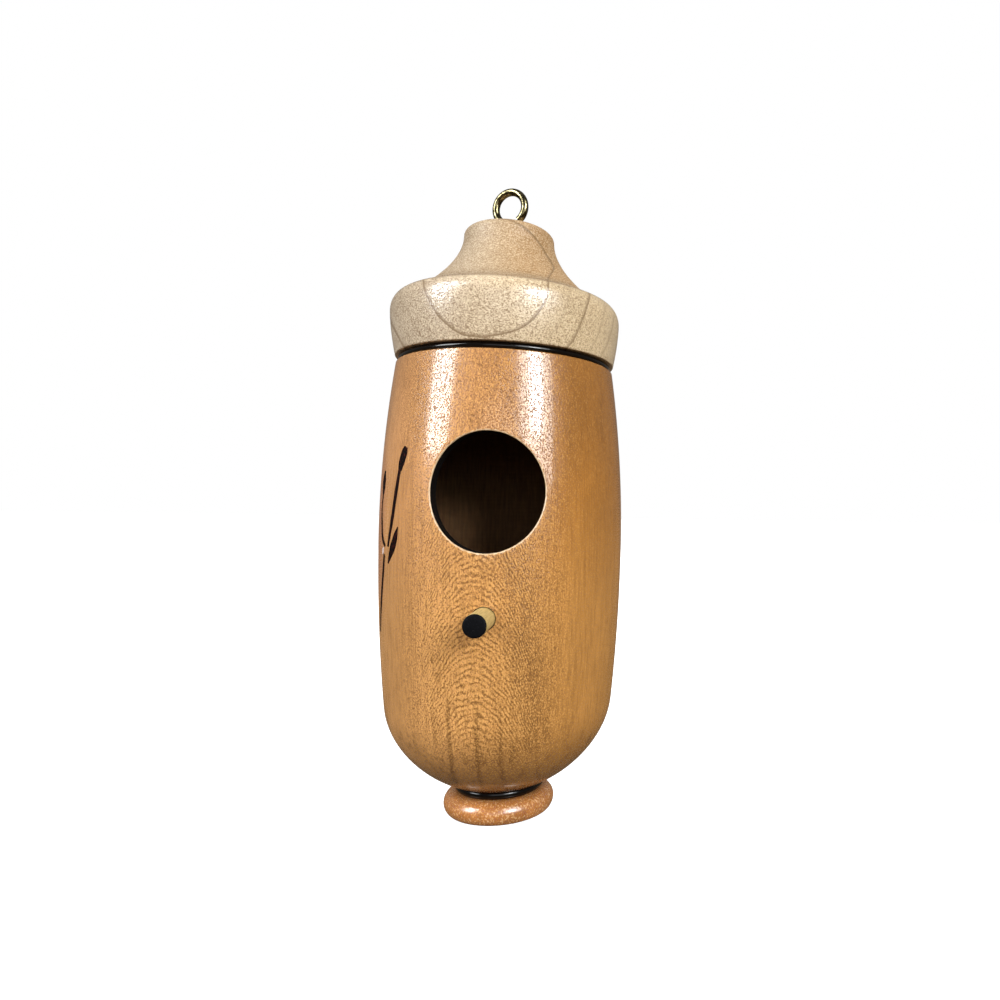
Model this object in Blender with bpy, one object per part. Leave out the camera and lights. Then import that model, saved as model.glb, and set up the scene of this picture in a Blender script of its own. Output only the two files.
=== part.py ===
"""Hanging birdhouse turned from wood, built as seven separate pieces.

A hollow turned body stands on a small foot and carries a lift-off roof. Thin black rings mark
the two joints. A dowel perch sits under the round entry hole, and a brass screw eye hangs the
whole from the roof's knob. Units are metres. +Z runs up the turning axis, -Y is the front, and
the origin is the middle of the foot's underside.
"""
import math

import bpy

MM = 0.001
GAP = 0.25 * MM                  # clearance between pieces that touch on the real object
TURNED_STEPS = 48                # facets round a turned piece or a large hole
SMALL_STEPS = 24                 # facets round the dowel and its hole

# Body: a barrel, widest a little above its middle, that closes in an elliptic bottom.
BODY_RADIUS = 30.0 * MM
BODY_WIDEST_Z = 69.0 * MM
BODY_BOTTOM_Z = 7.7 * MM
BODY_TOP_Z = 111.6 * MM
BODY_CURVE_BELOW = 1.2           # inward curve of the side below its widest place, per metre
BODY_CURVE_ABOVE = 1.68          # the same above it
BOTTOM_ROUND_Z = 27.7 * MM       # where the side starts to round into the bottom
BOTTOM_ROUND_HEIGHT = 22.5 * MM  # height of the ellipse that closes the bottom
WALL = 5.0 * MM
FLOOR_Z = 17.0 * MM
FLOOR_ROUND_HEIGHT = 21.0 * MM   # height of the ellipse that rounds the cavity into its floor
BOTTOM_SWEEP = 63.0              # part of the bottom ellipse above the flat seat, in degrees
MOUTH_RADIUS = 22.6 * MM
MOUTH_DEPTH = 11.0 * MM
MOUTH_STEP = 3.0 * MM            # height over which the cavity narrows to the mouth

# Entry hole and perch, both on the front.
ENTRY_RADIUS = 13.0 * MM
ENTRY_Z = 79.4 * MM
PERCH_RADIUS = 2.5 * MM
PERCH_Z = 51.7 * MM
PERCH_REACH = 40.3 * MM          # from the turning axis to the perch's tip
PERCH_CHAMFER = 0.35 * MM

# Black ring under the roof.
ROOF_RING_RADIUS = 26.85 * MM
ROOF_RING_HEIGHT = 1.2 * MM
ROOF_RING_WIDTH = 3.4 * MM

# Roof: a thick rim with a flared knob above it and a spigot below.
RIM_BOTTOM_Z = BODY_TOP_Z + ROOF_RING_HEIGHT + 2 * GAP
RIM_BOTTOM_RADIUS = 27.2 * MM
RIM_RADIUS = 28.6 * MM
RIM_WIDEST_Z = 124.2 * MM
RIM_TOP_Z = 128.4 * MM
RIM_SHOULDER = 3.0 * MM
RIM_CURVE_POWER = 1.6            # how late the rim's side curves in towards its bottom
FLARE_RADIUS = 24.0 * MM         # where the knob's flare meets the rim
KNOB_RADIUS = 11.4 * MM
KNOB_FLARE_TOP_Z = 145.6 * MM
KNOB_FLARE_POWER = 1.85
KNOB_TOP_Z = 148.6 * MM
KNOB_ROUND = 3.0 * MM
KNOB_FALL = 0.4 * MM             # fall of the knob's top from its middle to its rounded edge
SPIGOT_LENGTH = 9.5 * MM
SPIGOT_CHAMFER = 0.8 * MM

# Foot, its tenon and the black ring above it.
FOOT_RADIUS = 13.6 * MM
FOOT_TOP_Z = 5.4 * MM
FOOT_TOP_RADIUS = 10.6 * MM
FOOT_LOWER_ROUND = 1.9 * MM
FOOT_WIDEST_Z = 2.6 * MM
TENON_RADIUS = 4.0 * MM
TENON_TOP_Z = 13.6 * MM
FOOT_RING_RADIUS = 11.0 * MM
FOOT_RING_WIDTH = 5.0 * MM

# Screw eye: a wire bent to a ring on top of a shank.
WIRE_RADIUS = 0.95 * MM
EYE_RADIUS = 4.2 * MM            # to the middle of the wire
EYE_Z = 154.3 * MM
EYE_BEND = 1.6 * MM              # bend between the shank and the ring
EYE_END = -54.0                  # where the wire stops, in degrees round the ring
EYE_TURN = -22.5                 # turn of the ring about the shank, in degrees
SHANK_LENGTH = 12.0 * MM         # below the knob's top


# ---------------------------------------------------------------- helpers

def clear_scene():
    for old in list(bpy.data.objects):
        bpy.data.objects.remove(old, do_unlink=True)


def material(name, colour, roughness, metallic=0.0):
    made = bpy.data.materials.new(name)
    made.use_nodes = True
    shader = made.node_tree.nodes["Principled BSDF"]
    shader.inputs["Base Color"].default_value = (*colour, 1.0)
    shader.inputs["Roughness"].default_value = roughness
    shader.inputs["Metallic"].default_value = metallic
    return made


def arc(centre_r, centre_z, size_r, size_z, start, end, steps):
    """Points of an elliptic arc in the profile plane, angles in degrees from +r towards +z."""
    points = []
    for i in range(steps + 1):
        angle = math.radians(start + (end - start) * i / steps)
        points.append((centre_r + size_r * math.cos(angle), centre_z + size_z * math.sin(angle)))
    return points


def heights(start, end, steps):
    return [start + (end - start) * i / steps for i in range(steps + 1)]


def add_object(name, data, look):
    made = bpy.data.objects.new(name, data)
    bpy.context.scene.collection.objects.link(made)
    if look is not None:
        data.materials.append(look)
    return made


def turned(name, profile, look, steps=TURNED_STEPS, closed=False):
    """Turn a profile of (radius, height) points, listed down its outer side, about local Z."""
    mesh = bpy.data.meshes.new(name)
    edges = [(i, i + 1) for i in range(len(profile) - 1)]
    if closed:
        edges.append((len(profile) - 1, 0))
    mesh.from_pydata([(radius, 0.0, z) for radius, z in profile], edges, [])
    made = add_object(name, mesh, look)
    lathe = made.modifiers.new("Lathe", "SCREW")
    lathe.axis = "Z"
    lathe.steps = steps
    lathe.render_steps = steps
    lathe.use_merge_vertices = True
    lathe.merge_threshold = 0.00001
    lathe.use_smooth_shade = True
    return made


def drill(target, name, radius, centre, depth, steps):
    """Cut a round hole along Y, centred on centre, out of target."""
    profile = [(0.0, depth / 2), (radius, depth / 2), (radius, -depth / 2), (0.0, -depth / 2)]
    cutter = turned(name, profile, None, steps=steps)
    cutter.location = centre
    cutter.rotation_euler = (math.radians(90.0), 0.0, 0.0)
    cutter.hide_render = True
    cutter.display_type = "WIRE"
    cut = target.modifiers.new(name, "BOOLEAN")
    cut.operation = "DIFFERENCE"
    cut.solver = "EXACT"
    cut.object = cutter


# ---------------------------------------------------------------- profiles

def body_radius(z):
    """Outer radius of the body at a height."""
    curve = BODY_CURVE_BELOW if z < BODY_WIDEST_Z else BODY_CURVE_ABOVE
    side = BODY_RADIUS - curve * (z - BODY_WIDEST_Z) ** 2
    fall = max(0.0, BOTTOM_ROUND_Z - z) / BOTTOM_ROUND_HEIGHT
    return side * math.sqrt(1.0 - fall ** 2)


def body_profile():
    socket_radius = TENON_RADIUS + GAP
    socket_top = TENON_TOP_Z + GAP
    mouth_z = BODY_TOP_Z - MOUTH_DEPTH
    cavity_turn_z = FLOOR_Z + FLOOR_ROUND_HEIGHT
    cavity_radius = body_radius(cavity_turn_z) - WALL
    floor = arc(0.0, cavity_turn_z, cavity_radius, cavity_turn_z - FLOOR_Z, -90.0, 0.0, 6)
    inner = [(body_radius(z) - WALL, z) for z in heights(cavity_turn_z, mouth_z - MOUTH_STEP, 6)[1:]]
    side = [(body_radius(z), z) for z in heights(BODY_TOP_Z, BOTTOM_ROUND_Z, 10)]
    bottom = []
    for i in range(1, 9):
        angle = math.radians(BOTTOM_SWEEP * i / 8)
        z = BOTTOM_ROUND_Z - BOTTOM_ROUND_HEIGHT * math.sin(angle)
        bottom.append((body_radius(z), max(z, BODY_BOTTOM_Z)))
    return (
        floor
        + inner
        + [(MOUTH_RADIUS, mouth_z), (MOUTH_RADIUS, BODY_TOP_Z)]
        + side
        + bottom
        + [(socket_radius, BODY_BOTTOM_Z), (socket_radius, socket_top), (0.0, socket_top)]
    )


def roof_profile():
    bore = WIRE_RADIUS + GAP
    bore_bottom = KNOB_TOP_Z - SHANK_LENGTH - GAP
    dome_height = KNOB_ROUND - KNOB_FALL
    dome = arc(KNOB_RADIUS - KNOB_ROUND, KNOB_FLARE_TOP_Z, KNOB_ROUND, dome_height, 90.0, 10.0, 5)
    flare_height = KNOB_FLARE_TOP_Z - RIM_TOP_Z
    flare = []
    for z in heights(KNOB_FLARE_TOP_Z, RIM_TOP_Z, 8):
        fall = (KNOB_FLARE_TOP_Z - z) / flare_height
        flare.append((KNOB_RADIUS + (FLARE_RADIUS - KNOB_RADIUS) * fall ** KNOB_FLARE_POWER, z))
    shoulder_height = RIM_TOP_Z - RIM_WIDEST_Z
    shoulder = arc(RIM_RADIUS - RIM_SHOULDER, RIM_WIDEST_Z, RIM_SHOULDER, shoulder_height, 90.0, 0.0, 6)
    side = []
    for z in heights(RIM_WIDEST_Z, RIM_BOTTOM_Z, 4)[1:]:
        fall = (RIM_WIDEST_Z - z) / (RIM_WIDEST_Z - RIM_BOTTOM_Z)
        side.append((RIM_RADIUS - (RIM_RADIUS - RIM_BOTTOM_RADIUS) * fall ** RIM_CURVE_POWER, z))
    spigot = MOUTH_RADIUS - GAP
    spigot_bottom = RIM_BOTTOM_Z - SPIGOT_LENGTH
    return (
        [(0.0, bore_bottom), (bore, bore_bottom), (bore, KNOB_TOP_Z)]
        + dome
        + flare
        + shoulder
        + side
        + [
            (spigot, RIM_BOTTOM_Z),
            (spigot, spigot_bottom + SPIGOT_CHAMFER),
            (spigot - SPIGOT_CHAMFER, spigot_bottom),
            (0.0, spigot_bottom),
        ]
    )


def foot_profile():
    face_radius = FOOT_RADIUS - FOOT_LOWER_ROUND
    lower = arc(face_radius, FOOT_WIDEST_Z, FOOT_LOWER_ROUND, FOOT_WIDEST_Z, 0.0, -90.0, 5)
    upper_width = FOOT_RADIUS - FOOT_TOP_RADIUS
    upper = arc(FOOT_TOP_RADIUS, FOOT_WIDEST_Z, upper_width, FOOT_TOP_Z - FOOT_WIDEST_Z, 90.0, 0.0, 5)
    return (
        [(0.0, TENON_TOP_Z), (TENON_RADIUS, TENON_TOP_Z), (TENON_RADIUS, FOOT_TOP_Z)]
        + upper
        + lower[1:]
        + [(0.0, 0.0)]
    )


def ring_profile(radius, width, bottom_z, height):
    """A flat ring with a rounded outer edge, listed down the outer side."""
    nose = arc(radius - height / 2, bottom_z + height / 2, height / 2, height / 2, 90.0, -90.0, 5)
    return nose + [(radius - width, bottom_z), (radius - width, bottom_z + height)]


# ---------------------------------------------------------------- pieces

def make_body_shell(look):
    body = turned("body_shell", body_profile(), look)
    entry_centre = (0.0, -BODY_RADIUS, ENTRY_Z)
    drill(body, "entry_hole_cutter", ENTRY_RADIUS, entry_centre, 6 * WALL, TURNED_STEPS)
    perch_centre = (0.0, -BODY_RADIUS, PERCH_Z)
    drill(body, "perch_hole_cutter", PERCH_RADIUS + GAP, perch_centre, 4 * WALL, SMALL_STEPS)


def make_roof(look):
    turned("roof", roof_profile(), look)


def make_roof_ring(look):
    profile = ring_profile(ROOF_RING_RADIUS, ROOF_RING_WIDTH, BODY_TOP_Z + GAP, ROOF_RING_HEIGHT)
    turned("roof_ring", profile, look, closed=True)


def make_foot(look):
    turned("foot", foot_profile(), look)


def make_foot_ring(look):
    bottom_z = FOOT_TOP_Z + GAP
    height = BODY_BOTTOM_Z - GAP - bottom_z
    profile = ring_profile(FOOT_RING_RADIUS, FOOT_RING_WIDTH, bottom_z, height)
    turned("foot_ring", profile, look, closed=True)


def make_perch(look):
    """The dowel runs through the wall, flush with its inside, and out to the tip."""
    inner_reach = body_radius(PERCH_Z) - WALL
    length = PERCH_REACH - inner_reach
    profile = [
        (0.0, length),
        (PERCH_RADIUS - PERCH_CHAMFER, length),
        (PERCH_RADIUS, length - PERCH_CHAMFER),
        (PERCH_RADIUS, 0.0),
        (0.0, 0.0),
    ]
    perch = turned("perch", profile, look, steps=SMALL_STEPS)
    perch.location = (0.0, -inner_reach, PERCH_Z)
    perch.rotation_euler = (math.radians(90.0), 0.0, 0.0)


def eye_path():
    """Middle line of the wire as (across, up) points: shank, bend, then round the ring."""
    bend_z = EYE_Z - math.sqrt(EYE_RADIUS ** 2 + 2.0 * EYE_RADIUS * EYE_BEND)
    meet = math.degrees(math.atan2(EYE_Z - bend_z, EYE_BEND))
    shank = [(0.0, KNOB_TOP_Z - SHANK_LENGTH), (0.0, KNOB_TOP_Z - SHANK_LENGTH / 2)]
    bend = arc(-EYE_BEND, bend_z, EYE_BEND, EYE_BEND, 0.0, meet, 3)
    ring = arc(0.0, EYE_Z, EYE_RADIUS, EYE_RADIUS, meet + 180.0, EYE_END, 24)
    return shank + bend + ring[1:]


def make_screw_eye(look):
    curve = bpy.data.curves.new("screw_eye", "CURVE")
    curve.dimensions = "3D"
    curve.bevel_depth = WIRE_RADIUS
    curve.bevel_resolution = 3
    curve.use_fill_caps = True
    path = eye_path()
    spline = curve.splines.new("POLY")
    spline.points.add(len(path) - 1)
    for point, (x, z) in zip(spline.points, path):
        point.co = (x, 0.0, z, 1.0)
    eye = add_object("screw_eye", curve, look)
    eye.rotation_euler = (0.0, 0.0, math.radians(EYE_TURN))


def main():
    clear_scene()
    make_body_shell(material("body_wood", (0.55, 0.30, 0.13), 0.30))
    make_roof(material("roof_wood", (0.62, 0.47, 0.30), 0.40))
    make_roof_ring(material("roof_ring_black", (0.01, 0.01, 0.012), 0.25))
    make_foot(material("foot_wood", (0.58, 0.30, 0.14), 0.28))
    make_foot_ring(material("foot_ring_black", (0.01, 0.01, 0.012), 0.25))
    make_perch(material("perch_dowel", (0.60, 0.45, 0.22), 0.45))
    make_screw_eye(material("eye_brass", (0.70, 0.55, 0.25), 0.25, metallic=1.0))


main()
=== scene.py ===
"""Hanging birdhouse turned from wood, with its finishes and a small studio.

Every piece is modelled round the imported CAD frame, in metres, with +Z up the turning axis and
-Y to the front. The body, its foot, the rings and the perch ride on the house, and the roof and
its screw eye ride on the roof cap, which lifts off.
"""
import math

import bpy
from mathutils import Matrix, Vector


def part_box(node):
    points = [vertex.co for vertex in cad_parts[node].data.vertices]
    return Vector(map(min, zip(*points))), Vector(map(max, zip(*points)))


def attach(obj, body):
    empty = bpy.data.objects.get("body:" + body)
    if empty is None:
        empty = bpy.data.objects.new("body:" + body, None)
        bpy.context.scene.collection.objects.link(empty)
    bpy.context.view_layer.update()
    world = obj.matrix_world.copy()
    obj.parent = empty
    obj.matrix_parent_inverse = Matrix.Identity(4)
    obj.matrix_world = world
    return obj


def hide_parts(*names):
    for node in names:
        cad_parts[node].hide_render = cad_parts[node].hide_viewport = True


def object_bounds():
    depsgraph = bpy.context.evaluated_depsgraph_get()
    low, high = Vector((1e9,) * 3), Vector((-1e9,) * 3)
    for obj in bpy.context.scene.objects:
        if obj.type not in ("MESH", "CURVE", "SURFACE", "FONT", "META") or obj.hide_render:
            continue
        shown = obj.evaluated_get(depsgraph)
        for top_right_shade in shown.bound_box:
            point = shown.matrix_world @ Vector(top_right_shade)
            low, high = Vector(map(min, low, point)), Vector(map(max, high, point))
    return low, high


bl_info = {
    "name": "Hanging Birdhouse",
    "version": (1, 0, 0),
    "blender": (4, 5, 0),
    "location": "View3D > Sidebar > Birdhouse",
    "description": "Builds a hanging birdhouse turned from wood, with its finishes and a studio",
    "category": "Add Mesh",
}

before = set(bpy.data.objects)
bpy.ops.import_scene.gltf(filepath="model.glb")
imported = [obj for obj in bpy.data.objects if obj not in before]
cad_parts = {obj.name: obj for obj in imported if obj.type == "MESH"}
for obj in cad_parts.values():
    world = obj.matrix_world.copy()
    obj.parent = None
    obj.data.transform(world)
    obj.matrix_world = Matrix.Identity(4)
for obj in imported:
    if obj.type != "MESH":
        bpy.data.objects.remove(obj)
CAD_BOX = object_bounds()

MM = 0.001
TURNED_STEPS = 192               # facets round a turned piece
SMALL_STEPS = 64                 # facets round the perch and the screw eye
SEAM = 0.03 * MM                 # hairline left where two pieces meet
CAD_GAP = 0.25 * MM              # clearance between pieces in the CAD
MERGE = 0.008 * MM               # points of a turned piece nearer than this become one
MERGE_FINE = 0.004 * MM          # the same for the wire and the painted strokes
SHINE = 0.7                      # shine of a plain surface

BODY_LOW, BODY_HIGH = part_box("body_shell")
ROOF_LOW, ROOF_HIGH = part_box("roof")
FOOT_LOW, FOOT_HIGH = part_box("foot")
PERCH_LOW, PERCH_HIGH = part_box("perch")
ROOF_RING_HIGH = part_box("roof_ring")[1]
FOOT_RING_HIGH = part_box("foot_ring")[1]

# Body: a barrel that closes in an elliptic bottom.
BODY_RADIUS = BODY_HIGH.x
BODY_WIDEST_Z = 69.0 * MM
CURVE_BELOW = 1.2                # inward curve of the side below its widest place, per metre
CURVE_ABOVE = 1.68               # the same above it
BOTTOM_ROUND_Z = 27.7 * MM       # where the side starts to round into the bottom
BOTTOM_ROUND_HEIGHT = 22.5 * MM
BOTTOM_SWEEP = 63.0              # part of the bottom ellipse above the flat seat, in degrees
BOTTOM_STEPS = 20
WALL = 5.0 * MM
FLOOR_Z = 17.0 * MM
FLOOR_ROUND_HEIGHT = 21.0 * MM
MOUTH_RADIUS = 22.6 * MM
MOUTH_DEPTH = 11.0 * MM
MOUTH_STEP = 3.0 * MM
LIP_ROUND = 0.3 * MM             # rounding of the body's upper outer edge
ENTRY_X = 0.1 * MM
ENTRY_Z = 79.4 * MM
ENTRY_TALL = 1.075               # the hole's height over its width
ENTRY_STEPS = 128
PERCH_RADIUS = 2.5 * MM
PERCH_CLEAR = 0.2 * MM           # gap round the perch in its hole

# How far under the body's surface a face's middle lies before it belongs to what is named.
ENTRY_DEPTH = 0.012 * MM
PERCH_DEPTH = 0.1 * MM
CAVITY_DEPTH = 0.95 * WALL
EDGE_WIDTH = 0.005 * MM          # how far outside the hole's wall its rounded edge, with its painted highlight, begins
# The walls of the holes get a near-black painted shade, and the entry hole's edge a painted
# highlight.
RAW, PAINTED_SHADE, EDGE_HIGHLIGHT = 1, 2, 3     # looks of those faces, in the order the body is given them

# Figure of the body's wood, in millimetres.
RIPPLE_PITCH = 1.4
STREAKS = (                      # place across the front, half width, upper end, depth of colour
    (-6.6, 0.9, 38.0, 0.75),
    (-0.6, 0.8, 36.0, 0.70),
    (4.6, 0.7, 34.0, 0.60),
    (12.0, 0.6, 30.0, 0.35),
)

# Roof: a thick rim with a flared knob above it and a spigot below.
SPIGOT_LENGTH = 9.5 * MM
SPIGOT_RADIUS = MOUTH_RADIUS - CAD_GAP
SPIGOT_CHAMFER = 0.8 * MM
RIM_BOTTOM_Z = ROOF_LOW.z + SPIGOT_LENGTH
RIM_BOTTOM_RADIUS = 27.2 * MM
RIM_RADIUS = ROOF_HIGH.x
RIM_WIDEST_Z = 124.2 * MM
RIM_TOP_Z = 128.4 * MM
RIM_SHOULDER = 3.0 * MM
RIM_CURVE_POWER = 1.6
ROOF_RINGS = (                   # radius in millimetres and depth of colour of each growth line
    (5.0, 0.15), (9.6, 0.18), (14.2, 0.75), (19.6, 0.16), (24.4, 0.65), (29.5, 0.25), (33.0, 0.30),
)
RIM_LIP = 0.35 * MM              # rounding of the rim's lower edge
FLARE_RADIUS = 24.0 * MM
KNOB_RADIUS = 11.4 * MM
KNOB_FLARE_TOP_Z = 145.6 * MM
KNOB_FLARE_POWER = 1.85
KNOB_TOP_Z = ROOF_HIGH.z
KNOB_ROUND = 4.4 * MM            # width of the rounding at the knob's top
KNOB_FALL = 0.4 * MM

# Black rings.
ROOF_RING_CLEAR = 0.15 * MM      # gap between the ring and the rim over it
ROOF_RING_SET_BACK = 0.3 * MM
ROOF_RING_BORE = SPIGOT_RADIUS + 0.9 * MM
FOOT_RING_BORE = 6.0 * MM

# Foot and its tenon.
FOOT_RADIUS = FOOT_HIGH.x
FOOT_TOP_Z = 5.4 * MM
FOOT_TOP_RADIUS = 10.6 * MM
FOOT_LOWER_ROUND = 1.9 * MM
FOOT_WIDEST_Z = 2.6 * MM
TENON_RADIUS = 4.0 * MM

# Painted reeds: points of (azimuth in degrees, height in mm, half width in mm). -90 is the left.
REED_LINES = (
    ((-40.6, 89.3, 0.75), (-41.3, 88.2, 1.15), (-42.9, 86.0, 1.15), (-43.8, 84.3, 0.75)),
    ((-43.8, 84.8, 0.60), (-45.9, 79.3, 0.70), (-48.4, 72.9, 0.72), (-51.8, 66.8, 0.48)),
    (
        (-43.4, 71.4, 0.20), (-45.2, 69.0, 0.95), (-47.2, 66.8, 1.20), (-49.4, 64.8, 0.80),
        (-51.4, 63.0, 0.30),
    ),
    ((-59.4, 84.2, 0.55), (-60.2, 82.4, 1.25), (-60.4, 80.4, 1.20), (-60.6, 78.8, 0.60)),
    (
        (-60.6, 79.2, 0.50), (-61.6, 75.4, 0.55), (-60.4, 71.8, 0.65), (-58.7, 68.6, 0.70),
        (-55.0, 66.8, 0.45),
    ),
    ((-56.0, 65.0, 0.60), (-57.7, 60.1, 0.70), (-60.6, 54.1, 0.75), (-64.4, 46.6, 0.50)),
)
REED_DOT = ((-57.2, 66.5, 0.35), (-57.8, 65.8, 0.70), (-58.4, 65.1, 0.40))
DOT_RISE = 1.5                   # the dot's height over the height of the reeds
STROKE_OFFSET = 0.01 * MM        # least distance of a stroke from the body

# Screw eye.
WIRE_RADIUS = 0.95 * MM
EYE_RADIUS = 4.2 * MM
EYE_Z = 154.3 * MM
EYE_BEND = 1.6 * MM              # bend between the shank and the ring
EYE_END = -54.0                  # where the ring's open end stops, in degrees
EYE_TURN = -22.5                 # turn of the ring about the shank, in degrees
WIRE_STEPS = 32
BEND_STEPS = 10
RING_STEPS = 96
SHANK_LENGTH = 12.0 * MM
SHANK_POINT = 0.2 * MM           # radius of the shank's tip
SHANK_PLAIN = 2.0 * MM           # shank without grooves below the knob's top
THREAD_PITCH = 0.9 * MM
THREAD_ROOT = 0.72 * MM          # radius at the bottom of a groove
THREAD_RISE = 0.45               # share of the pitch from a groove up to the next ridge
THREAD_FADE = 0.6 * MM           # height over which the last groove runs out

# Studio. Lights: azimuth and elevation in degrees, distance, width and height in metres, strength.
DAYLIGHT = (0.95, 0.98, 1.0)
LIGHTS = (
    ("window_left", -59.0, 30.0, 1.30, 0.50, 0.92, 13.5),
    ("window_right", 37.0, 27.0, 1.30, 0.72, 0.96, 6.4),
    ("lamp_right", 37.0, 24.0, 1.28, 0.22, 0.36, 32.0),
    ("room_front", 8.0, 10.0, 1.30, 1.10, 0.50, 1.4),
)
FILLS = (                        # lights behind the house, which leave no gleam on it
    ("room_back", 180.0, 48.0, 1.45, 0.90, 0.80, 5.0),
    ("room_back", 145.0, 10.0, 1.45, 0.90, 0.80, 1.6),
    ("room_back", -145.0, 10.0, 1.45, 0.90, 0.80, 1.6),
)
FLOOR_RADIUS = 30.0
AIR_STRENGTH = 0.18
SKY = (1.0, 0.96, 0.92, 1.0)
GROUND = (1.0, 0.72, 0.46, 1.0)
CAMERA_PLACE = (0.02713, -0.19303, 0.07416)
CAMERA_TURN = (91.4211, -0.7389, -5.4198)
CAMERA_LENS = 26.46
CAMERA_SHIFT = -0.18


# ---------------------------------------------------------------- settings

class BirdhouseSizes(bpy.types.PropertyGroup):
    entry_radius: bpy.props.FloatProperty(
        name="Entry radius",
        description="Half the width of the entry hole, which is a little taller than it is wide",
        default=12.55 * MM,
        min=8.0 * MM,
        max=18.0 * MM,
        unit="LENGTH",
    )
    entry_edge: bpy.props.FloatProperty(
        name="Entry edge",
        description="Rounding of the entry hole's edge",
        default=0.34 * MM,
        min=0.1 * MM,
        max=1.0 * MM,
        unit="LENGTH",
    )
    perch_edge: bpy.props.FloatProperty(
        name="Perch edge",
        description="Rounding of the perch's tip",
        default=0.45 * MM,
        min=0.1 * MM,
        max=1.0 * MM,
        unit="LENGTH",
    )
    reed_height: bpy.props.FloatProperty(
        name="Reed height",
        description="How far the painted reeds stand proud of the body",
        default=0.10 * MM,
        min=0.05 * MM,
        max=0.3 * MM,
        unit="LENGTH",
    )


def colour_setting(name, description, default):
    return bpy.props.FloatVectorProperty(
        name=name,
        description=description,
        subtype="COLOR",
        size=3,
        min=0.0,
        max=1.0,
        default=default,
    )


class BirdhouseColours(bpy.types.PropertyGroup):
    # Partly the wood's own tone and partly painted light: the left wood is made lighter and the
    # right wood darker to match how the light falls on the two sides.
    body_left: colour_setting("Body, left", "Wood on the body's left side", (0.680, 0.335, 0.135))
    body_right: colour_setting(
        "Body, right", "Wood on the body's right side", (0.390, 0.155, 0.022)
    )
    body_dark: colour_setting("Body figure", "Dark streaks and figure", (0.130, 0.052, 0.014))
    body_light: colour_setting("Body light", "Bright ridges of the figure", (0.72, 0.375, 0.115))
    roof_pale: colour_setting("Roof, left", "Roof wood on its left", (0.550, 0.435, 0.315))
    roof_warm: colour_setting("Roof, right", "Roof wood on its right", (0.640, 0.480, 0.285))
    roof_line: colour_setting("Roof rings", "Growth lines of the roof", (0.170, 0.100, 0.045))
    foot: colour_setting("Foot", "Wood of the foot", (0.470, 0.185, 0.048))
    black: colour_setting("Black rings", "Ebonised wood of the rings", (0.0020, 0.0014, 0.0012))
    dowel: colour_setting("Perch", "Bare wood of the perch", (0.58, 0.42, 0.15))
    paint: colour_setting("Perch tip", "Paint on the perch's tip", (0.0022, 0.0024, 0.0034))
    brass: colour_setting("Screw eye", "Brass of the screw eye", (0.27, 0.23, 0.12))


# ---------------------------------------------------------------- shaping

def nothing_selected():
    bpy.ops.object.select_all(action="DESELECT")


def only(piece):
    """Select one piece and make it the active one."""
    nothing_selected()
    piece.select_set(True)
    bpy.context.view_layer.objects.active = piece


def arc(centre_r, centre_z, size_r, size_z, start, end, steps):
    """Points of an elliptic arc in the profile plane, angles in degrees from +r towards +z."""
    points = []
    for i in range(steps + 1):
        angle = math.radians(start + (end - start) * i / steps)
        points.append((centre_r + size_r * math.cos(angle), centre_z + size_z * math.sin(angle)))
    return points


def heights(start, end, steps):
    return [start + (end - start) * i / steps for i in range(steps + 1)]


def turn(name, profile, steps=TURNED_STEPS):
    """Draw a profile of (radius, height) points vertex by vertex and spin it about +Z."""
    nothing_selected()
    radius, height = profile[0]
    bpy.ops.mesh.primitive_plane_add(size=0.1 * MM, location=(radius, 0.0, height))
    piece = bpy.context.object
    piece.name = name
    piece.data.name = name
    bpy.ops.object.mode_set(mode="EDIT")
    bpy.ops.mesh.merge(type="CENTER")
    for (r0, z0), (r1, z1) in zip(profile, profile[1:]):
        bpy.ops.mesh.extrude_vertices_move(
            TRANSFORM_OT_translate={"value": (r1 - r0, 0.0, z1 - z0)}
        )
    bpy.ops.mesh.select_all(action="SELECT")
    bpy.ops.mesh.spin(steps=steps, angle=2 * math.pi, center=(0, 0, 0), axis=(0, 0, 1))
    bpy.ops.mesh.select_all(action="SELECT")
    bpy.ops.mesh.remove_doubles(threshold=MERGE)
    bpy.ops.mesh.normals_make_consistent(inside=False)
    bpy.ops.object.mode_set(mode="OBJECT")
    bpy.ops.object.transform_apply(location=True, rotation=True, scale=True)
    return piece


def cut_away(piece, cutter):
    """Take the cutter's shape out of a piece, and remove the cutter."""
    only(piece)
    bpy.ops.object.modifier_add(type="BOOLEAN")
    cut = piece.modifiers[-1]
    cut.operation = "DIFFERENCE"
    cut.solver = "EXACT"
    cut.object = cutter
    bpy.ops.object.modifier_apply(modifier=cut.name)
    only(cutter)
    bpy.ops.object.delete()
    only(piece)


def drill(piece, radius, centre, depth, steps, tall=1.0):
    """Cut a round hole along Y, or one that is a little taller than it is wide."""
    nothing_selected()
    bpy.ops.mesh.primitive_cylinder_add(
        vertices=steps, radius=radius, depth=depth, location=centre,
        rotation=(math.radians(90.0), 0.0, 0.0),
    )
    cutter = bpy.context.object
    cutter.scale = (1.0, tall, 1.0)
    cut_away(piece, cutter)


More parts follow.
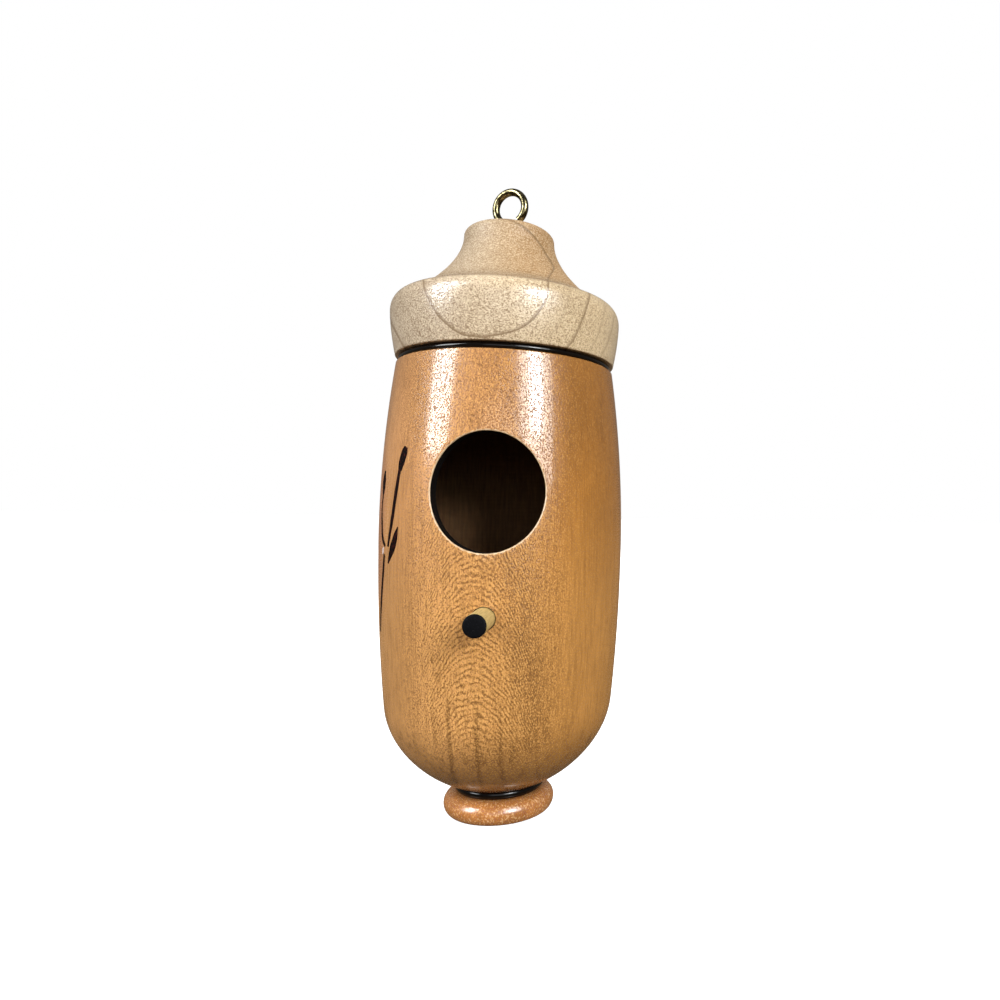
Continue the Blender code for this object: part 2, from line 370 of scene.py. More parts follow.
def round_entry_edge(piece, centre, radius, tall, edge_round):
    """Round the entry hole's outer edge with a ring-shaped cutter that follows the body's curve."""
    clear = 0.3 * MM
    nose = arc(radius + edge_round, -edge_round, edge_round, edge_round, 90.0, 180.0, 4)
    inner = [(radius - clear, -edge_round), (radius - clear, clear)]
    section = [(radius + edge_round, clear)] + nose + inner
    cutter = turn("edge_cutter", section + section[:1], steps=ENTRY_STEPS)
    for vertex in cutter.data.vertices:
        x, z = centre[0] + vertex.co.x, centre[2] + vertex.co.y * tall
        vertex.co = (x, -math.sqrt(body_radius(z) ** 2 - x ** 2) - vertex.co.z, z)
    only(cutter)
    bpy.ops.object.mode_set(mode="EDIT")
    bpy.ops.mesh.select_all(action="SELECT")
    bpy.ops.mesh.normals_make_consistent(inside=False)
    bpy.ops.object.mode_set(mode="OBJECT")
    cut_away(piece, cutter)


def mark_inner_faces(body, entry, perch, radius, edge):
    """Give the hollow its own look, the walls of the two holes a near-black painted shade and the
    entry hole's edge a painted highlight.
    """
    for face in body.data.polygons:
        middle = face.center
        depth = body_radius(middle.z) - math.hypot(middle.x, middle.y)
        away = math.hypot(middle.x - entry[0], (middle.z - entry[2]) / ENTRY_TALL)
        to_perch = math.hypot(middle.x - perch[0], middle.z - perch[2])
        in_entry = middle.y < 0 and depth > ENTRY_DEPTH and away < radius + edge
        near_perch = to_perch < PERCH_RADIUS + 2 * PERCH_CLEAR
        in_perch = middle.y < 0 and depth > PERCH_DEPTH and near_perch
        if middle.z > FLOOR_Z - WALL / 4 and depth > CAVITY_DEPTH:
            face.material_index = RAW
        elif in_entry:
            face.material_index = EDGE_HIGHLIGHT if away > radius + EDGE_WIDTH else PAINTED_SHADE
        elif in_perch:
            face.material_index = PAINTED_SHADE


def smooth(piece, angle=35.0):
    only(piece)
    bpy.ops.object.shade_smooth_by_angle(angle=math.radians(angle))


def settle(piece, body, node, slot, *looks):
    """Give a piece its looks, and let it stand for a CAD node on that node's body."""
    for look in looks:
        piece.data.materials.append(look)
    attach(piece, body)
    if node:
        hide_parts(node)


def paint_stroke(line, height, look):
    """A bead of paint on the body, along points of (azimuth, height up the body, half width)."""
    curve = bpy.data.curves.new("stroke", "CURVE")
    curve.dimensions = "3D"
    curve.bevel_depth = MM
    curve.bevel_resolution = 6
    curve.resolution_u = 8
    curve.use_fill_caps = True
    spline = curve.splines.new("BEZIER")
    spline.bezier_points.add(len(line) - 1)
    for point, (azimuth, z, width) in zip(spline.bezier_points, line):
        reach = body_radius(z * MM) - (width * MM - height)
        angle = math.radians(azimuth)
        point.co = (reach * math.sin(angle), -reach * math.cos(angle), z * MM)
        point.handle_left_type = point.handle_right_type = "AUTO"
        point.radius = width
    stroke = bpy.data.objects.new("stroke", curve)
    bpy.context.collection.objects.link(stroke)
    only(stroke)
    bpy.ops.object.convert(target="MESH")
    bpy.ops.object.modifier_add(type="SHRINKWRAP")
    wrap = stroke.modifiers[-1]
    wrap.target = bpy.data.objects["turned_body"]
    wrap.wrap_method = "NEAREST_SURFACEPOINT"
    wrap.wrap_mode = "OUTSIDE"
    wrap.offset = STROKE_OFFSET
    bpy.ops.object.modifier_apply(modifier=wrap.name)
    bpy.ops.object.mode_set(mode="EDIT")
    bpy.ops.mesh.select_all(action="SELECT")
    bpy.ops.mesh.remove_doubles(threshold=MERGE_FINE)
    bpy.ops.mesh.normals_make_consistent(inside=False)
    bpy.ops.object.mode_set(mode="OBJECT")
    stroke.data.materials.append(look)
    return stroke


# ---------------------------------------------------------------- profiles

def body_radius(z):
    """Outer radius of the body at a height."""
    curve = CURVE_BELOW if z < BODY_WIDEST_Z else CURVE_ABOVE
    side = BODY_RADIUS - curve * (z - BODY_WIDEST_Z) ** 2
    fall = min(1.0, max(0.0, BOTTOM_ROUND_Z - z) / BOTTOM_ROUND_HEIGHT)
    return side * math.sqrt(1.0 - fall ** 2)


def body_profile():
    bottom_z, top_z = BODY_LOW.z, BODY_HIGH.z
    mouth_z = top_z - MOUTH_DEPTH
    turn_z = FLOOR_Z + FLOOR_ROUND_HEIGHT
    floor = arc(0.0, turn_z, body_radius(turn_z) - WALL, FLOOR_ROUND_HEIGHT, -90.0, 0.0, 14)
    inner = [(body_radius(z) - WALL, z) for z in heights(turn_z, mouth_z - MOUTH_STEP, 18)[1:]]
    lip_z = top_z - LIP_ROUND
    mouth = [(MOUTH_RADIUS, mouth_z), (MOUTH_RADIUS, lip_z)]
    inner_lip = arc(MOUTH_RADIUS + LIP_ROUND, lip_z, LIP_ROUND, LIP_ROUND, 180, 90, 4)[1:]
    outer_lip = arc(body_radius(lip_z) - LIP_ROUND, lip_z, LIP_ROUND, LIP_ROUND, 90.0, 0.0, 5)
    side = [(body_radius(z), z) for z in heights(lip_z, BOTTOM_ROUND_Z, 44)[1:]]
    bottom = []
    for i in range(1, BOTTOM_STEPS + 1):
        angle = math.radians(BOTTOM_SWEEP * i / BOTTOM_STEPS)
        z = BOTTOM_ROUND_Z - BOTTOM_ROUND_HEIGHT * math.sin(angle)
        bottom.append((body_radius(z), max(z, bottom_z)))
    socket_radius = TENON_RADIUS + SEAM
    socket_top = FOOT_HIGH.z + CAD_GAP
    socket = [(socket_radius, bottom_z), (socket_radius, socket_top), (0.0, socket_top)]
    return floor + inner + mouth + inner_lip + outer_lip + side + bottom + socket


def roof_profile():
    bore = WIRE_RADIUS + SEAM
    bore_bottom = KNOB_TOP_Z - SHANK_LENGTH - CAD_GAP
    dome_height = KNOB_TOP_Z - KNOB_FALL - KNOB_FLARE_TOP_Z
    dome = arc(KNOB_RADIUS - KNOB_ROUND, KNOB_FLARE_TOP_Z, KNOB_ROUND, dome_height, 90, 8, 12)
    edge = dome[0][0]
    crown = [(r, KNOB_TOP_Z - KNOB_FALL * (r / edge) ** 2) for r in heights(bore, edge, 6)[:-1]]
    flare = []
    for z in heights(KNOB_FLARE_TOP_Z, RIM_TOP_Z, 30):
        fall = (KNOB_FLARE_TOP_Z - z) / (KNOB_FLARE_TOP_Z - RIM_TOP_Z)
        flare.append((KNOB_RADIUS + (FLARE_RADIUS - KNOB_RADIUS) * fall ** KNOB_FLARE_POWER, z))
    shoulder_height = RIM_TOP_Z - RIM_WIDEST_Z
    shoulder = arc(
        RIM_RADIUS - RIM_SHOULDER, RIM_WIDEST_Z, RIM_SHOULDER, shoulder_height, 90, 0, 14
    )
    side = []
    for z in heights(RIM_WIDEST_Z, RIM_BOTTOM_Z + RIM_LIP, 12)[1:]:
        fall = (RIM_WIDEST_Z - z) / (RIM_WIDEST_Z - RIM_BOTTOM_Z)
        side.append((RIM_RADIUS - (RIM_RADIUS - RIM_BOTTOM_RADIUS) * fall ** RIM_CURVE_POWER, z))
    lip = arc(side[-1][0] - RIM_LIP, RIM_BOTTOM_Z + RIM_LIP, RIM_LIP, RIM_LIP, 0, -90, 4)[1:]
    spigot = [
        (SPIGOT_RADIUS, RIM_BOTTOM_Z),
        (SPIGOT_RADIUS, ROOF_LOW.z + SPIGOT_CHAMFER),
        (SPIGOT_RADIUS - SPIGOT_CHAMFER, ROOF_LOW.z),
        (0.0, ROOF_LOW.z),
    ]
    knob = [(0.0, bore_bottom), (bore, bore_bottom)] + crown + dome + flare
    return knob + shoulder + side + lip + spigot


def foot_profile():
    face_radius = FOOT_RADIUS - FOOT_LOWER_ROUND
    lower = arc(face_radius, FOOT_WIDEST_Z, FOOT_LOWER_ROUND, FOOT_WIDEST_Z, 0, -90, 12)
    upper_width = FOOT_RADIUS - FOOT_TOP_RADIUS
    upper = arc(FOOT_TOP_RADIUS, FOOT_WIDEST_Z, upper_width, FOOT_TOP_Z - FOOT_WIDEST_Z, 90, 0, 12)
    tenon = [(0.0, FOOT_HIGH.z), (TENON_RADIUS, FOOT_HIGH.z), (TENON_RADIUS, FOOT_TOP_Z)]
    return tenon + upper + lower[1:] + [(0.0, FOOT_LOW.z)]


def ring_profile(outer, inner, bottom, top):
    """A ring with a full round nose, closed on itself."""
    half = (top - bottom) / 2
    nose = arc(outer - half, bottom + half, half, half, 90.0, -90.0, 12)
    return nose + [(inner, bottom), (inner, top), nose[0]]


# ---------------------------------------------------------------- finishes

class Finish:
    """A material whose nodes are added one at a time. Lengths in it are in millimetres."""

    def __init__(self, name):
        self.material = bpy.data.materials.new(name)
        self.material.use_nodes = True
        self.tree = self.material.node_tree
        self.shader = self.tree.nodes["Principled BSDF"]
        self.column = 0
        coordinates = self.node("ShaderNodeTexCoord")
        self.place = self.stretch(coordinates.outputs["Object"], (1000.0, 1000.0, 1000.0))
        split = self.node("ShaderNodeSeparateXYZ", {"Vector": self.place})
        self.x, self.y, self.z = split.outputs

    def node(self, kind, inputs=None, **settings):
        made = self.tree.nodes.new(kind)
        self.column += 1
        made.location = (-2600 + 190 * (self.column % 13), 600 - 220 * (self.column // 13))
        for name, value in settings.items():
            setattr(made, name, value)
        for name, value in (inputs or {}).items():
            self.feed(made.inputs[name], value)
        return made

    def feed(self, socket, value):
        if isinstance(value, bpy.types.NodeSocket):
            self.tree.links.new(value, socket)
        elif isinstance(value, (tuple, list)) and len(socket.default_value) == 4:
            socket.default_value = (*value[:3], 1.0)
        else:
            socket.default_value = value

    def stretch(self, vector, scale, turned=(0.0, 0.0, 0.0), moved=(0.0, 0.0, 0.0)):
        angles = tuple(math.radians(angle) for angle in turned)
        inputs = {"Vector": vector, "Scale": scale, "Rotation": angles, "Location": moved}
        return self.node("ShaderNodeMapping", inputs).outputs["Vector"]

    def noise(self, vector, scale=1.0, detail=2.0, roughness=0.5, distortion=0.0):
        inputs = {
            "Vector": vector, "Scale": scale, "Detail": detail,
            "Roughness": roughness, "Distortion": distortion,
        }
        return self.node("ShaderNodeTexNoise", inputs).outputs["Fac"]

    def calculate(self, operation, first, second=0.0, third=None):
        made = self.node("ShaderNodeMath", operation=operation)
        for socket, value in zip(made.inputs, (first, second, third)):
            if value is not None:
                self.feed(socket, value)
        return made.outputs[0]

    def rise(self, value, start, end, low=0.0, high=1.0):
        """A smooth step from low at start to high at end."""
        inputs = {
            "Value": value, "From Min": start, "From Max": end, "To Min": low, "To Max": high,
        }
        made = self.node("ShaderNodeMapRange", inputs, interpolation_type="SMOOTHSTEP")
        return made.outputs["Result"]

    def mix(self, factor, first, second, blend="MIX"):
        made = self.node("ShaderNodeMix", data_type="RGBA", blend_type=blend)
        # Sockets 0, 6 and 7 are the node's factor and its two colours.
        for number, value in ((0, factor), (6, first), (7, second)):
            self.feed(made.inputs[number], value)
        return made.outputs[2]

    def bump(self, height, strength, distance, after=None):
        inputs = {"Height": height, "Strength": strength, "Distance": distance * MM}
        if after is not None:
            inputs["Normal"] = after
        return self.node("ShaderNodeBump", inputs).outputs["Normal"]

    def set(self, **values):
        """Feed the shader's own sockets; underscores in a name stand for spaces."""
        # The socket keeps this value too, for a viewer that can't follow shine that varies.
        self.shader.inputs["Specular IOR Level"].default_value = SHINE
        for name, value in values.items():
            self.feed(self.shader.inputs[name.replace("_", " ")], value)
        return self.material


def product(finish, *values):
    total = values[0]
    for value in values[1:]:
        total = finish.calculate("MULTIPLY", total, value)
    return total


def body_wood(colours):
    """Lacquered fruitwood: ripple figure on the front, dark streaks low down."""
    wood = Finish("body_wood_lacquered")
    dark, light = tuple(colours.body_dark), tuple(colours.body_light)
    cloud = wood.noise(wood.stretch(wood.place, (0.07, 0.07, 0.022)), 1.0, 3.0, 0.5)
    fibres = wood.noise(wood.stretch(wood.place, (2.4, 2.4, 0.09)), 1.0, 4.0, 0.6)
    pores = wood.noise(wood.stretch(wood.place, (3.3, 3.3, 2.5)), 1.0, 1.5, 0.5)
    streaks = wood.noise(wood.stretch(wood.place, (0.42, 0.42, 0.012)), 1.0, 5.0, 0.62)
    wander = wood.noise(wood.stretch(wood.place, (0.30, 0.30, 0.22)), 1.0, 3.0, 0.6)
    broken = wood.noise(wood.stretch(wood.place, (0.45, 0.45, 0.7)), 1.0, 2.0, 0.6)

    drift = wood.calculate("ADD", wood.x, wood.calculate("MULTIPLY", cloud, 14.0))
    left, right = tuple(colours.body_left), tuple(colours.body_right)
    # Left to right across the body: a real change of tone, and also painted light, lighter on the
    # left and darker on the right.
    colour = wood.mix(wood.rise(drift, -20, 30), left, right)
    # Painted light: the body is made lighter towards its lower half, where the lights fall off.
    colour = wood.mix(wood.rise(wood.z, 86.0, 44.0, 0.0, 0.42), colour, light)
    colour = wood.mix(wood.rise(cloud, 0.35, 0.75, 0.0, 0.30), colour, dark)

    # Dark streaks that run up from the bottom, three of them strong.
    low_down = wood.rise(wood.z, 46.0, 18.0, 0.22, 1.0)
    colour = wood.mix(product(wood, wood.rise(streaks, 0.50, 0.66), low_down, 0.55), colour, dark)
    sway = wood.calculate("ADD", wood.x, wood.calculate("MULTIPLY", wander, 1.6))
    for place, width, top, depth in STREAKS:
        off = wood.calculate("ABSOLUTE", wood.calculate("SUBTRACT", sway, place))
        line = product(wood, wood.rise(off, width, 0.1), wood.rise(wood.z, top, top - 9.0), depth)
        colour = wood.mix(product(wood, line, wood.rise(wood.y, -2.0, -6.0)), colour, dark)

    # Ripple figure: arches stacked up the front, broken up by the grain.
    across = wood.calculate("ADD", wood.x, 2.2)
    arch = wood.calculate("MULTIPLY", wood.calculate("MULTIPLY", across, across), 0.12)
    rank = wood.calculate("ADD", wood.z, arch)
    rank = wood.calculate("ADD", rank, wood.calculate("MULTIPLY", wander, 3.6))
    ripple = wood.calculate("SINE", wood.calculate("MULTIPLY", rank, 2 * math.pi / RIPPLE_PITCH))
    beside = wood.calculate("ABSOLUTE", wood.calculate("SUBTRACT", across, 1.5))
    front = product(
        wood,
        wood.rise(beside, 16.0, 8.0),
        wood.rise(wood.y, -8.0, -18.0),
        wood.rise(wood.z, 18.0, 30.0, 0.25, 1.0),
        wood.rise(wood.z, 92.0, 60.0, 0.12, 1.0),
        wood.rise(broken, 0.30, 0.60),
    )
    colour = wood.mix(product(wood, wood.rise(ripple, 0.0, 1.0), front, 0.72), colour, dark)
    colour = wood.mix(product(wood, wood.rise(ripple, 0.0, -1.0), front, 0.70), colour, light)

    # Painted shade: darker towards the top, most of all on the right, and where the bottom turns in
    # to the foot.
    top_right_shade = product(wood, wood.rise(wood.x, 6.0, 22.0), wood.rise(wood.z, 66.0, 104.0), 0.24)
    colour = wood.mix(top_right_shade, colour, dark)
    colour = wood.mix(wood.rise(wood.z, 80.0, 108.0, 0.0, 0.20), colour, dark)
    colour = wood.mix(wood.rise(wood.z, 24.0, 10.0, 0.0, 0.46), colour, dark)

    # A browner band beside the perch.
    band_place = wood.calculate("ADD", wood.calculate("MULTIPLY", wood.z, 0.11), wood.x)
    off = wood.calculate("ABSOLUTE", wood.calculate("SUBTRACT", band_place, 13.6))
    band = product(
        wood, wood.rise(off, 5.0, 1.0), wood.rise(wood.z, 68.0, 56.0),
        wood.rise(wood.z, 16.0, 30.0), wood.rise(wood.y, -8.0, -16.0),
        wood.rise(pores, 0.25, 0.6), 0.30,
    )
    colour = wood.mix(band, colour, dark)

    grainy = product(
        wood, wood.rise(beside, 22.0, 12.0, 0.4, 1.0), wood.rise(wood.y, 4.0, -14.0, 0.5, 1.0)
    )
    colour = wood.mix(product(wood, wood.rise(pores, 0.50, 0.66), grainy, 0.72), colour, dark)
    colour = wood.mix(product(wood, wood.rise(pores, 0.50, 0.34), grainy, 0.62), colour, light)
    colour = wood.mix(wood.rise(fibres, 0.40, 0.7, 0.0, 0.34), colour, dark)

    # Heat from the burnt reeds has reddened the wood round them.
    blush = product(
        wood, wood.rise(wood.x, -23.5, -27.5), wood.rise(wood.y, -5.0, -13.0),
        wood.rise(wood.z, 44.0, 64.0), wood.rise(wood.z, 94.0, 78.0), 0.42,
    )
    colour = wood.mix(blush, colour, (0.300, 0.060, 0.040))

    pits = product(wood, wood.rise(pores, 0.50, 0.64, 1.0, 0.0), grainy)
    relief = wood.calculate("ADD", product(wood, fibres, 0.25), product(wood, pits, 0.6))
    relief = wood.calculate("ADD", relief, product(wood, ripple, front, 0.06))
    return wood.set(
        Base_Color=colour, Roughness=wood.rise(pores, 0.40, 0.62, 0.12, 0.30),
        Specular_IOR_Level=wood.rise(pores, 0.48, 0.60, 1.0, 0.25),
        Normal=wood.bump(relief, 0.6, 0.050),
    )


def cavity_wood(name, shadow, light):
    """Unfinished wood inside, with painted shade that darkens it everywhere except a painted pool
    of light.
    """
    wood = Finish(name)
    grain = wood.noise(wood.stretch(wood.place, (1.4, 1.4, 0.15)), 1.0, 4.0, 0.6)
    tool_lines = wood.calculate("SINE", wood.calculate("MULTIPLY", wood.z, 2 * math.pi / 1.1))
    colour = wood.mix(grain, shadow, light)
    # Painted light and shade: a lit patch low on the left, where light comes in through the entry
    # hole, and the rest darkened towards black.
    wear_and_lit_patch = product(wood, wood.rise(wood.x, -6.0, -17.0), wood.rise(wood.z, 82.0, 70.0))
    colour = wood.mix(wear_and_lit_patch, wood.mix(0.62, colour, (0.0, 0.0, 0.0)), colour)
    relief = wood.calculate("ADD", grain, wood.calculate("MULTIPLY", tool_lines, 0.3))
    return wood.set(
        Base_Color=colour, Roughness=wood.rise(grain, 0.3, 0.7, 0.7, 0.9), Specular_IOR_Level=0.12,
        Normal=wood.bump(relief, 0.5, 0.15),
    )


def edge_highlight():
    """Painted highlight: pale, smooth wood round the entry hole, where its rounded edge catches the
    light.
    """
    wood = Finish("entry_edge_painted_highlight")
    grain = wood.noise(wood.stretch(wood.place, (1.1, 1.1, 0.5)), 1.0, 3.0, 0.6)
    colour = wood.mix(grain, (0.44, 0.26, 0.12), (0.80, 0.60, 0.38))
    return wood.set(
        Base_Color=colour, Roughness=wood.rise(grain, 0.3, 0.7, 0.24, 0.40),
        Specular_IOR_Level=0.9, Normal=wood.bump(grain, 0.3, 0.03),
    )


def roof_wood(colours):
    """Pale wood with its rings lying across, seen as wide U-shaped lines on the rim."""
    wood = Finish("roof_wood_pale")
    line = tuple(colours.roof_line)
    left, right = tuple(colours.roof_pale), tuple(colours.roof_warm)
    pale = wood.mix(wood.rise(wood.x, -18.0, 24.0), left, right)
    cloud = wood.noise(wood.stretch(wood.place, (0.09, 0.05, 0.09)), 1.0, 3.0, 0.5)
    flecks = wood.noise(wood.stretch(wood.place, (2.7, 2.7, 3.2)), 1.0, 1.5, 0.5)
    fibres = wood.noise(wood.stretch(wood.place, (2.6, 0.2, 2.6)), 1.0, 4.0, 0.6)
    wander = wood.noise(wood.stretch(wood.place, (0.11, 0.05, 0.11)), 1.0, 2.0, 0.5)

    # Growth rings about an axis that points a little left and up as it goes back.
    across = wood.calculate("ADD", wood.x, wood.calculate("MULTIPLY", wood.y, 0.18))
    across = wood.calculate("ADD", across, 6.2)
    up = wood.calculate("SUBTRACT", wood.z, wood.calculate("MULTIPLY", wood.y, 0.163))
    up = wood.calculate("SUBTRACT", up, 132.4)
    ring = wood.calculate("SQRT", wood.calculate(
        "ADD", wood.calculate("MULTIPLY", across, across), wood.calculate("MULTIPLY", up, up)))
    sway = wood.calculate("MULTIPLY", wood.calculate("SUBTRACT", wander, 0.5), 2.0)
    ring = wood.calculate("ADD", ring, sway)
    ring = wood.calculate("SUBTRACT", ring, wood.rise(wood.z, 129.0, 137.0, 0.0, 3.4))
    colour = wood.mix(wood.rise(cloud, 0.35, 0.7, 0.0, 0.22), pale, line)
    knob = wood.rise(wood.z, 128.6, 132.0)
    # Painted shade: the knob is made darker than the rim.
    colour = wood.mix(wood.calculate("MULTIPLY", knob, 0.38), colour, line)
    blush = product(wood, knob, wood.rise(wood.x, -8.0, 10.0), 0.80)
    colour = wood.mix(blush, colour, (0.380, 0.215, 0.090))
    calm = wood.calculate("SUBTRACT", 1.0, wood.calculate("MULTIPLY", knob, 0.45))
    colour = wood.mix(product(wood, wood.rise(flecks, 0.50, 0.64), calm, 0.70), colour, line)
    bright = product(wood, wood.rise(flecks, 0.50, 0.36), calm, 0.55)
    colour = wood.mix(bright, colour, (0.86, 0.72, 0.50))
    for radius, depth in ROOF_RINGS:
        past = wood.calculate("SUBTRACT", ring, radius)
        late = product(wood, wood.rise(past, -0.85, -0.05), wood.rise(past, 0.18, 0.0), depth)
        colour = wood.mix(late, colour, line)
    colour = wood.mix(wood.rise(fibres, 0.35, 0.7, 0.0, 0.18), colour, line)
    # Painted shade: a dark line in the crease where the knob meets the rim.
    hollow = product(wood, wood.rise(wood.z, 133.0, 128.6), wood.rise(wood.z, 127.4, 128.3), 0.70)
    colour = wood.mix(hollow, colour, line)
    relief = wood.calculate("ADD", fibres, product(wood, flecks, 0.8))
    roughness = wood.calculate(
        "ADD", wood.rise(flecks, 0.40, 0.62, 0.16, 0.38), wood.calculate("MULTIPLY", knob, 0.26)
    )
    shine = product(
        wood, wood.rise(flecks, 0.46, 0.60, 1.0, 0.3), wood.rise(wood.z, 128.6, 132.0, 1.0, 0.35)
    )
    return wood.set(
        Base_Color=colour, Roughness=roughness, Specular_IOR_Level=shine,
        Normal=wood.bump(relief, 0.6, 0.045),
    )


def foot_wood(colours):
    """Warm orange wood of the foot, with its grain running up the turning axis."""
    wood = Finish("foot_wood_orange")
    cloud = wood.noise(wood.stretch(wood.place, (0.2, 0.2, 0.08)), 1.0, 3.0, 0.5)
    streaks = wood.noise(wood.stretch(wood.place, (1.1, 1.1, 0.05)), 1.0, 5.0, 0.6)
    pores = wood.noise(wood.stretch(wood.place, (2.1, 2.1, 1.7)), 1.0, 2.0, 0.6)
    dark = tuple(part * 0.42 for part in colours.foot)
    colour = wood.mix(wood.rise(cloud, 0.35, 0.7, 0.0, 0.35), tuple(colours.foot), dark)
    colour = wood.mix(wood.rise(streaks, 0.5, 0.72, 0.0, 0.45), colour, dark)
    deep = product(wood, wood.rise(pores, 0.50, 0.66), 0.75)
    colour = wood.mix(deep, colour, (0.260, 0.075, 0.025))
    bright = product(wood, wood.rise(pores, 0.49, 0.34), 0.60)
    colour = wood.mix(bright, colour, (0.78, 0.50, 0.26))
    relief = wood.calculate("ADD", product(wood, streaks, 0.4), pores)
    return wood.set(
        Base_Color=colour, Roughness=wood.rise(pores, 0.3, 0.7, 0.11, 0.30),
        Specular_IOR_Level=1.0, Normal=wood.bump(relief, 0.7, 0.036),
    )


def ebonised(colours):
    """Wood stained black and lacquered, worn a little brown in places."""
    wood = Finish("ring_ebonised")
    grain = wood.noise(wood.stretch(wood.place, (2.4, 2.4, 0.6)), 1.0, 4.0, 0.6)
    wear_and_lit_patch = wood.noise(wood.place, 0.35, 3.0, 0.6)
    brown = wood.rise(wear_and_lit_patch, 0.6, 0.75, 0.0, 0.35)
    colour = wood.mix(brown, tuple(colours.black), (0.018, 0.008, 0.005))
    return wood.set(
        Base_Color=colour, Roughness=wood.rise(grain, 0.3, 0.7, 0.08, 0.15),
        Specular_IOR_Level=0.34, Normal=wood.bump(grain, 0.4, 0.03),
    )


def dowel_wood(colours):
    """Pale bare wood with its grain along the dowel."""
    wood = Finish("perch_wood_bare")
    fibres = wood.noise(wood.stretch(wood.place, (4.0, 0.25, 4.0)), 1.0, 4.0, 0.6)
    dark = tuple(part * 0.5 for part in colours.dowel)
    colour = wood.mix(wood.rise(fibres, 0.4, 0.7, 0.0, 0.5), tuple(colours.dowel), dark)
    return wood.set(
        Base_Color=colour, Roughness=wood.rise(fibres, 0.3, 0.7, 0.45, 0.6),
        Normal=wood.bump(fibres, 0.4, 0.05),
    )


def tip_paint(colours):
    """Blue-black paint on end grain, with a few pale specks where it is thin."""
    paint = Finish("perch_tip_paint")
    thin = paint.noise(paint.place, 3.2, 3.0, 0.65)
    pits = paint.noise(paint.place, 6.0, 2.0, 0.6)
    specks = paint.rise(thin, 0.58, 0.72, 0.0, 0.5)
    colour = paint.mix(specks, tuple(colours.paint), (0.035, 0.038, 0.045))
    return paint.set(
        Base_Color=colour, Roughness=paint.rise(pits, 0.3, 0.7, 0.35, 0.55),
        Specular_IOR_Level=0.08, Normal=paint.bump(pits, 0.6, 0.06),
    )


def brass_metal(colours):
    """Bright brass that has begun to tarnish in the hollows of its drawing lines."""
    metal = Finish("eye_brass_worn")
    tarnish = metal.noise(metal.place, 0.9, 4.0, 0.6)
    scratches = metal.noise(metal.stretch(metal.place, (2.0, 2.0, 9.0)), 1.0, 3.0, 0.6)
    dark = tuple(part * 0.12 for part in colours.brass)
    colour = metal.mix(metal.rise(tarnish, 0.42, 0.6, 0.0, 0.9), tuple(colours.brass), dark)
    return metal.set(
        Base_Color=colour, Metallic=1.0, Roughness=metal.rise(tarnish, 0.35, 0.7, 0.07, 0.22),
        Normal=metal.bump(scratches, 0.4, 0.04),
    )


def dot_paint():
    """Pale pink paint, chalky and a little uneven."""
    paint = Finish("reed_dot_pink")
    chalk = paint.noise(paint.place, 3.0, 3.0, 0.6)
    colour = paint.mix(chalk, (0.55, 0.38, 0.34), (0.85, 0.72, 0.66))
    return paint.set(
        Base_Color=colour, Roughness=paint.rise(chalk, 0.3, 0.7, 0.4, 0.6),
        Normal=paint.bump(chalk, 0.4, 0.05),
    )


def reed_paint():
    """Burnt black line with a brown edge where the heat ran into the wood."""
    paint = Finish("reed_burnt_black")
    char = paint.noise(paint.place, 2.2, 3.0, 0.6)
    brown = paint.rise(char, 0.48, 0.66, 0.0, 0.8)
    colour = paint.mix(brown, (0.002, 0.0015, 0.0015), (0.050, 0.009, 0.007))
    return paint.set(
        Base_Color=colour, Roughness=paint.rise(char, 0.3, 0.7, 0.45, 0.65),
        Specular_IOR_Level=0.06, Normal=paint.bump(char, 0.4, 0.05),
    )


# ---------------------------------------------------------------- pieces

class BIRDHOUSE_OT_body(bpy.types.Operator):
    """Turn the hollow body, drill its entry hole and perch hole and round the entry hole's edge."""
    bl_idname = "birdhouse.body"
    bl_label = "Body"

    def execute(self, context):
        sizes = context.scene.birdhouse_sizes
        colours = context.scene.birdhouse_colours
        body = turn("turned_body", body_profile())
        entry = (ENTRY_X, -BODY_RADIUS, ENTRY_Z)
        perch = (0.0, -BODY_RADIUS, (PERCH_LOW.z + PERCH_HIGH.z) / 2)
        drill(body, sizes.entry_radius, entry, 6 * WALL, ENTRY_STEPS, ENTRY_TALL)
        drill(body, PERCH_RADIUS + PERCH_CLEAR, perch, 4 * WALL, SMALL_STEPS)
        round_entry_edge(body, entry, sizes.entry_radius, ENTRY_TALL, sizes.entry_edge)
        raw = cavity_wood("cavity_wood_raw", (0.150, 0.078, 0.040), (0.500, 0.270, 0.120))
        # Painted shade: the walls of the entry hole and the perch hole are near black.
        shaded_walls = cavity_wood("hole_walls_painted_shade", (0.003, 0.002, 0.001), (0.016, 0.008, 0.005))
        looks = (body_wood(colours), raw, shaded_walls, edge_highlight())
        settle(body, "house", "body_shell", "body_wood", *looks)
        mark_inner_faces(body, entry, perch, sizes.entry_radius, sizes.entry_edge)
        smooth(body)
        return {"FINISHED"}


class BIRDHOUSE_OT_roof(bpy.types.Operator):
    """Turn the roof with its knob, rim and spigot."""
    bl_idname = "birdhouse.roof"
    bl_label = "Roof"

    def execute(self, context):
        roof = turn("turned_roof", roof_profile())
        settle(roof, "roof_cap", "roof", "roof_wood", roof_wood(context.scene.birdhouse_colours))
        smooth(roof)
        return {"FINISHED"}


class BIRDHOUSE_OT_foot(bpy.types.Operator):
    """Turn the foot and its tenon."""
    bl_idname = "birdhouse.foot"
    bl_label = "Foot"

    def execute(self, context):
        foot = turn("turned_foot", foot_profile())
        settle(foot, "house", "foot", "foot_wood", foot_wood(context.scene.birdhouse_colours))
        smooth(foot)
        return {"FINISHED"}


